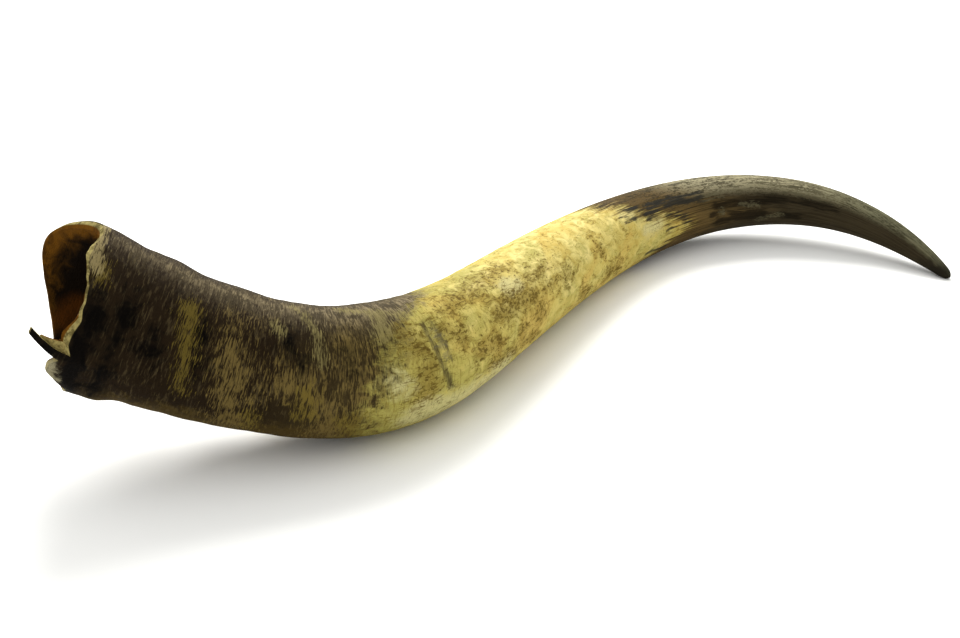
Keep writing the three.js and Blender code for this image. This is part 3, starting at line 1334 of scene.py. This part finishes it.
    def material(self) -> bpy.types.Material:
        """Makes the material.

        Returns:
            The keratin.
        """
        made = bpy.data.materials.new("weathered_horn_keratin")
        made.use_nodes = True
        made.node_tree.nodes.clear()
        bench = NodeBench(made.node_tree)
        patterns = (
            self.hatch, self.fibre, self.cloud, self.blotch,
            self.speck, self.fray, self.crackle, self.scratch,
        )
        raised = bench.add("ShaderNodeAttribute", out="Fac", attribute_name=RAISED)
        grains = Grains(*(bench.grown(pattern) for pattern in patterns), raised=raised)
        cream_edge = bench.frayed(Stain.CREAM, (grains.blotch, 30), (grains.hatch, 18), (grains.speck, 10))
        tip_edge = bench.frayed(Stain.TIP, (grains.fray, 50), (grains.fibre, 46))
        middle = bench.coat(self._middle(bench, grains), tip_edge, self.browned)
        colour = bench.lay(self._base(bench, grains), middle, cream_edge, self.cream_edge)
        colour = bench.lay(colour, self._tip(bench, grains), tip_edge, self.tip_edge)
        for stain, coat, *frays in (
            (Stain.SOOT, self.soot, (grains.blotch, 20)),
            (Stain.OCHRE, self.ochre, (grains.hatch, 22)),
            (Stain.PALE, self.pale, (grains.hatch, 14)),
            (Stain.PEELED, self.peeled, (grains.hatch, 14)),
            (Stain.SCAR, self.scar, (grains.hatch, 3)),
            (Stain.BRUISE, self.bruise, (grains.fray, 13)),
            (Stain.FLECK, self.fleck, (grains.fray, 7), (grains.speck, 9)),
        ):
            colour = bench.coat(colour, bench.frayed(stain, *frays), coat)
        colour = self._broken_wall(bench, grains, colour)
        colour = bench.coat(colour, bench.frayed(Stain.LIP, (grains.blotch, 7), (grains.speck, 7)), self.lip)
        roughness = {"Value": grains.blotch, "To Min": self.roughness_least, "To Max": self.roughness_most}
        shader = bench.add(
            "ShaderNodeBsdfPrincipled",
            {
                "Base Color": colour,
                "Roughness": bench.add("ShaderNodeMapRange", roughness),
                "IOR": self.ior,
                "Specular IOR Level": self.gloss,
                "Normal": self._surface(bench, grains, tip_edge),
            },
        )
        bench.add("ShaderNodeOutputMaterial", {"Surface": shader})
        return made

    def _base(self, bench: NodeBench, grains: Grains) -> Socket:
        """Colours of the dark base.

        Args:
            bench: The node tree that they are put together in.
            grains: The patterns.

        Returns:
            The colours.
        """
        area = bench.frayed(Stain.OLIVE, (grains.cloud, 20))
        area = bench.add("ShaderNodeMapRange", self.olive_area.span(area))
        past = bench.add("ShaderNodeAttribute", out="Fac", attribute_name=Stain.CREAM.value)
        through = bench.total(-0.15, (grains.hatch, 0.75), (grains.blotch, 0.25), (area, 0.21))
        mottle = bench.total(0.0, (grains.scratch, 0.7), (grains.blotch, 0.3))
        low = bench.total(-25.0, (grains.raised, -1.0), (past, 0.12), (grains.blotch, 50))
        # The grey on top is worn layers and painted sheen, laid where the surface faces up.
        top = bench.total(-50.0, (grains.raised, 1.0), (past, 0.08), (grains.hatch, 50), (grains.blotch, 50))
        worn = bench.total(0.0, (grains.scratch, 0.5), (grains.blotch, 0.5))
        worn_grey_and_sheen = bench.coat(linear_colour(self.worn_grey_and_sheen), worn, self.grey_mottle)
        colour = bench.coat(linear_colour(self.base), grains.blotch, self.base_dark)
        colour = bench.coat(colour, mottle, self.base_mottle)
        colour = bench.coat(colour, past, self.base_late)
        colour = bench.coat(colour, low, self.base_umber)
        colour = bench.coat(colour, through, self.base_olive)
        return bench.lay(colour, worn_grey_and_sheen, top, self.grey_edge)

    def _middle(self, bench: NodeBench, grains: Grains) -> Socket:
        """Colours of the cream middle.

        Args:
            bench: The node tree that they are put together in.
            grains: The patterns.

        Returns:
            The colours.
        """
        past = bench.add("ShaderNodeAttribute", out="Fac", attribute_name=Stain.CREAM.value)
        near = bench.add("ShaderNodeMapRange", {**self.early_cream.span(past), "To Min": 1.0, "To Max": 0.0})
        clouds = bench.frayed(Stain.BROWN, (grains.blotch, 16))
        crowded = bench.add("ShaderNodeMapRange", self.crowded.span(clouds))
        # Pale butter clouds, with more towards the top as a painted highlight.
        butter_and_top_highlight = bench.total(-0.06, (grains.cloud, 1.0), (grains.raised, 0.0022), (near, -0.05))
        olive = bench.total(0.0, (grains.blotch, 0.6), (grains.cloud, 0.4), (near, 0.09))
        tan = bench.total(0.60, (grains.cloud, -0.6), (grains.blotch, 0.4), (near, -0.10))
        colour = bench.coat(linear_colour(self.cream), butter_and_top_highlight, self.butter_and_top_highlight)
        colour = bench.coat(colour, olive, self.olive)
        colour = bench.coat(colour, tan, self.tan)
        colour = bench.coat(colour, clouds, self.brown)
        # Bleached patches, with painted bounce light from the floor low on the belly.
        colour = bench.coat(colour, bench.frayed(Stain.BLEACHED, (grains.blotch, 12)), self.bleached_and_bounce_light)
        colour = bench.coat(colour, bench.total(-0.02, (grains.hatch, 1.0), (near, 0.10)), self.lines)
        colour = bench.coat(colour, bench.total(0.0, (grains.speck, 1.0), (crowded, 0.17)), self.specks)
        off = bench.add("ShaderNodeMath", {0: grains.crackle, 1: NOISE_MIDDLE}, operation="SUBTRACT")
        off = bench.add("ShaderNodeMath", {0: off}, operation="ABSOLUTE")
        cracks = bench.total(0.0, (off, -1.0), (grains.blotch, 0.12), (crowded, 0.02))
        return bench.coat(colour, cracks, self.cracks)

    def _tip(self, bench: NodeBench, grains: Grains) -> Socket:
        """Colours of the dark tip.

        Args:
            bench: The node tree that they are put together in.
            grains: The patterns.

        Returns:
            The colours.
        """
        past = bench.add("ShaderNodeAttribute", out="Fac", attribute_name=Stain.TIP.value)
        young = bench.total(140.0, (past, -1.0))
        frays = (grains.fray, 40), (grains.speck, 40), (grains.blotch, 20)
        # The grey worn layers on top are partly painted sheen, laid where the surface faces up.
        worn = bench.total(-50.0, (grains.raised, 1.0), *frays)
        colour = bench.coat(linear_colour(self.tip), young, self.young)
        colour = bench.coat(colour, grains.fibre, self.fibres)
        mottle = bench.total(0.0, (grains.speck, 0.4), (grains.fray, 0.4), (grains.blotch, 0.2))
        layer = bench.coat(linear_colour(self.worn), past, self.worn_green)
        layer = bench.coat(layer, young, self.worn_rust)
        layer = bench.coat(layer, mottle, self.worn_mottle)
        colour = bench.lay(colour, layer, worn, self.worn_and_sheen_edge)
        # Dark bare layers, with painted shade under the ledge and a painted shadow under the pit's lump.
        colour = bench.coat(colour, bench.frayed(Stain.BARE, (grains.fray, 14)), self.recess)
        return bench.coat(colour, bench.frayed(Stain.END, (grains.blotch, 10)), self.end)

    def _broken_wall(self, bench: NodeBench, grains: Grains, colour: Socket) -> Socket:
        """Lays the broken wall's and the hollow's colours over the outside's.

        Args:
            bench: The node tree that they are put together in.
            grains: The patterns.
            colour: The colours of the outside.

        Returns:
            All the colours.
        """
        across = bench.add("ShaderNodeAttribute", out="Fac", attribute_name=ACROSS)
        inward = bench.total(0.0, (across, -1.0))
        from_rim = bench.add("ShaderNodeAttribute", out="Fac", attribute_name=FROM_RIM)
        dirt = bench.total(0.0, (grains.speck, 0.5), (grains.blotch, 0.5))
        wall = bench.coat(linear_colour(self.wall), dirt, self.wall_dirt)
        hollow = bench.coat(linear_colour(self.hollow), grains.blotch, self.hollow_dirt)
        # Painted shade darkens the hollow further from the rim, and sooner on its lower side.
        hollow_shade_depth = bench.total(-10.0, (from_rim, 1.0), (grains.blotch, 20), (grains.raised, -0.14))
        hollow = bench.coat(hollow, hollow_shade_depth, self.hollow_shade)
        hollow = bench.coat(hollow, bench.frayed(Stain.GLOW, (grains.blotch, 7)), self.hollow_glow)
        colour = bench.lay(colour, wall, inward, self.wall_edge)
        return bench.lay(colour, hollow, inward, self.hollow_edge)

    def _surface(self, bench: NodeBench, grains: Grains, tip_edge: Socket) -> Socket:
        """Fine relief: lines across the base and the middle, fibres along the tip, and small pits.

        Args:
            bench: The node tree that they are put together in.
            grains: The patterns.
            tip_edge: Millimetres inside the dark tip's edge.

        Returns:
            The surface's normal.
        """
        share = bench.add("ShaderNodeMapRange", self.fibre_relief.span(tip_edge))
        past = bench.add("ShaderNodeAttribute", out="Fac", attribute_name=Stain.CREAM.value)
        worn = {**self.line_relief.span(past), "To Min": 1.0, "To Max": self.cream_relief}
        rough = bench.add("ShaderNodeMapRange", worn)
        hatch = bench.add("ShaderNodeMath", {0: grains.hatch, 1: rough}, operation="MULTIPLY")
        links = {MIX_SHARE: share, **dict(zip(MIX_NUMBERS, (hatch, grains.fibre)))}
        lines = bench.add("ShaderNodeMix", links, data_type="FLOAT")
        height = bench.total(0.0, (grains.speck, self.pitting), (lines, 1.0))
        links = {"Strength": self.relief_strength, "Distance": self.relief, "Height": height}
        return bench.add("ShaderNodeBump", links)


@dataclass(frozen=True)
class PaperSweep:
    """Matt white paper: even and almost white, so that it takes soft shadows."""

    colour: str = "#f6f6f3"
    roughness: float = 0.85
    # Paper's fibres are a few millimetres long, and lie almost flat.
    fibre: float = 4 * MM
    fibre_detail: float = 2.0
    relief: float = 0.1 * MM
    relief_strength: float = 0.05

    def material(self) -> bpy.types.Material:
        """Makes the material.

        Returns:
            The paper.
        """
        made = bpy.data.materials.new("matt_white_paper")
        made.use_nodes = True
        made.node_tree.nodes.clear()
        bench = NodeBench(made.node_tree)
        places = bench.add("ShaderNodeTexCoord", out="Object")
        links = {"Vector": places, "Scale": 1 / self.fibre, "Detail": self.fibre_detail}
        fibres = bench.add("ShaderNodeTexNoise", links)
        links = {"Strength": self.relief_strength, "Distance": self.relief, "Height": fibres}
        normal = bench.add("ShaderNodeBump", links)
        shader = bench.add(
            "ShaderNodeBsdfPrincipled",
            {"Base Color": linear_colour(self.colour), "Roughness": self.roughness, "Normal": normal},
        )
        bench.add("ShaderNodeOutputMaterial", {"Surface": shader})
        return made


@dataclass(frozen=True)
class SoftLight:
    """A soft box: where it hangs, where it points, how wide it is and its power in watts."""

    name: str
    place: tuple[float, float, float]
    aim: tuple[float, float, float]
    width: float
    power: float


@dataclass(frozen=True)
class Studio:
    """A pale floor, soft light from above and behind, and a camera a little above the horn."""

    floor_size: float = 14.0
    surround: str = "#ffffff"
    surround_dim: float = 0.92
    surround_bright: float = 1.25
    surround_from: tuple[float, float, float] = (0.0, 0.66, 0.75)
    contrast: float = 0.85
    camera_place: tuple[float, float, float] = (-0.05477, -1.02673, 0.51484)
    camera_pitch: float = 26.0
    focal_px: float = 1422.0
    frame_px: float = 960.0
    sensor_mm: float = 36.0
    lights: tuple[SoftLight, ...] = (
        SoftLight("key", (-0.1, 2.1, 1.85), (0.0, 0.0, 0.0), 1.4, 100.0),
    )

    def build(self) -> None:
        """Makes the floor, the surround, the lights and the camera."""
        self._floor()
        self._surround()
        for light in self.lights:
            self._hang(light)
        self._camera()

    def _floor(self) -> None:
        """Lays the floor."""
        bpy.ops.object.select_all(action="DESELECT")
        bpy.ops.mesh.primitive_plane_add(size=self.floor_size)
        floor = bpy.context.active_object
        floor.name = "paper_floor"
        floor.data.materials.append(PaperSweep().material())

    def _surround(self) -> None:
        """Fills the room with soft light that is brightest above and behind the horn."""
        world = bpy.data.worlds.new("pale_room")
        bpy.context.scene.world = world
        world.use_nodes = True
        world.node_tree.nodes.clear()
        bench = NodeBench(world.node_tree)
        way = bench.add("ShaderNodeTexCoord", out="Generated")
        towards = bench.add(
            "ShaderNodeVectorMath", {0: way, 1: self.surround_from}, out="Value", operation="DOT_PRODUCT"
        )
        strength = bench.add(
            "ShaderNodeMapRange",
            {"Value": towards, "From Min": 0.0, "To Min": self.surround_dim, "To Max": self.surround_bright},
            interpolation_type="SMOOTHSTEP",
        )
        links = {"Color": linear_colour(self.surround), "Strength": strength}
        bench.add("ShaderNodeOutputWorld", {"Surface": bench.add("ShaderNodeBackground", links)})

    def _hang(self, light: SoftLight) -> None:
        """Hangs a soft box.

        Args:
            light: The soft box.
        """
        data = bpy.data.lights.new(light.name, "AREA")
        data.energy = light.power
        data.size = light.width
        lamp = bpy.data.objects.new(light.name, data)
        lamp.location = light.place
        lamp.rotation_euler = (Vector(light.aim) - Vector(light.place)).to_track_quat("-Z", "Y").to_euler()
        bpy.context.scene.collection.objects.link(lamp)

    def _camera(self) -> None:
        """Sets up the camera."""
        data = bpy.data.cameras.new("camera")
        data.sensor_fit = "HORIZONTAL"
        data.sensor_width = self.sensor_mm
        data.lens = self.focal_px / self.frame_px * self.sensor_mm
        camera = bpy.data.objects.new("camera", data)
        camera.location = self.camera_place
        camera.rotation_euler = (math.radians(90 - self.camera_pitch), 0.0, 0.0)
        bpy.context.scene.collection.objects.link(camera)
        bpy.context.scene.camera = camera
        bpy.context.scene.view_settings.view_transform = "Standard"
        bpy.context.scene.view_settings.gamma = self.contrast


def main() -> None:
    """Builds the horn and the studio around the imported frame."""
    logging.basicConfig(level=logging.INFO, format="%(name)s: %(message)s")
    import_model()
    sheath = HornSheath()
    horn = sheath.build()
    sheath.dress(horn, WeatheredKeratin())
    LOG.info("%s: %d points, %d faces", horn.name, len(horn.data.vertices), len(horn.data.polygons))
    Studio().build()


if __name__ == "__main__":
    main()
